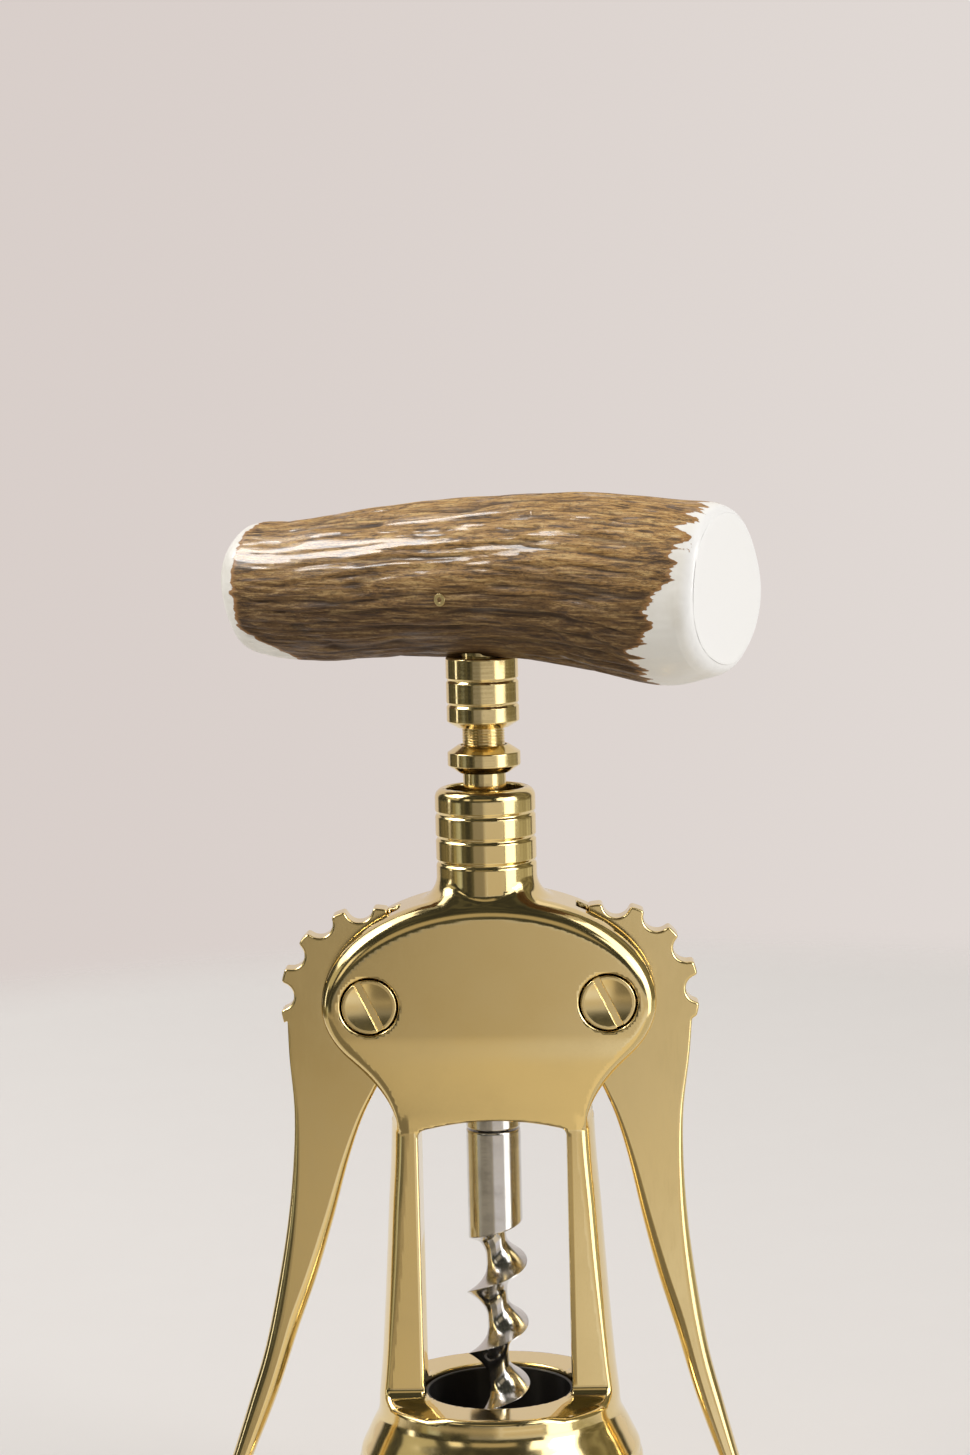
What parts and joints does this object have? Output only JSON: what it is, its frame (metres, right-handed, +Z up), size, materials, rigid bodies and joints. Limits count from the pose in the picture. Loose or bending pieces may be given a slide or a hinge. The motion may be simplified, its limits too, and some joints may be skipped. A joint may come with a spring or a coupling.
{
  "type": "wing corkscrew",
  "caption": "Wing corkscrew with a ring-toothed rack, two geared levers, an open cast frame over a bell, a steel worm and a cross grip of antler.",
  "frame": {"origin": "on the worm's axis, in the plane of the bell's foot, which is also the bottom centre of the box to within about a millimetre", "axes": "+Z up along the worm's axis to the grip, +X to the right lever, the face with the screws' slots looks along -Y"},
  "size_m": [0.1, 0.0689, 0.194],
  "materials": {
    "brass": "polished",
    "steel": "bright turned and ground",
    "liner": "near-black, satin",
    "antler": "antler, part polished, brown with pale ends"
  },
  "bodies": {
    "frame": {"frame_casting": "brass", "bell_liner": "liner", "pivot_barrel_left": "brass", "pivot_barrel_right": "brass", "pivot_screw_left": "brass", "pivot_screw_right": "brass"},
    "rack": {"rack_sleeve": "steel"},
    "spindle": {"worm": "steel", "spindle_rod": "steel", "thrust_ring": "steel", "threaded_stem": "brass", "stop_collar": "brass", "ferrule": "brass", "handle_grip": "antler", "grip_pin": "brass"},
    "left_lever": {"lever_left": "brass"},
    "right_lever": {"lever_right": "brass"}
  },
  "joints": [
    {"name": "rack_slide", "type": "slide", "parent": "frame", "child": "rack", "axis": [0, 0, 1], "range_m": [-0.022, 0.0021]},
    {"name": "spindle_turn", "type": "hinge", "parent": "rack", "child": "spindle", "pos_m": [0, 0, 0.12], "axis": [0, 0, 1], "continuous": true},
    {"name": "lever_left_turn", "type": "hinge", "parent": "frame", "child": "left_lever", "pos_m": [-0.02095, 0, 0.1047], "axis": [0, 1, 0], "range_deg": [-8, 83]},
    {"name": "lever_right_turn", "type": "hinge", "parent": "frame", "child": "right_lever", "pos_m": [0.02095, 0, 0.1047], "axis": [0, -1, 0], "range_deg": [-8, 83]}
  ],
  "couplings": [
    {"joint": "lever_left_turn", "follows": "rack_slide", "rad_per_m": -65.789},
    {"joint": "lever_right_turn", "follows": "rack_slide", "rad_per_m": -65.789}
  ]
}
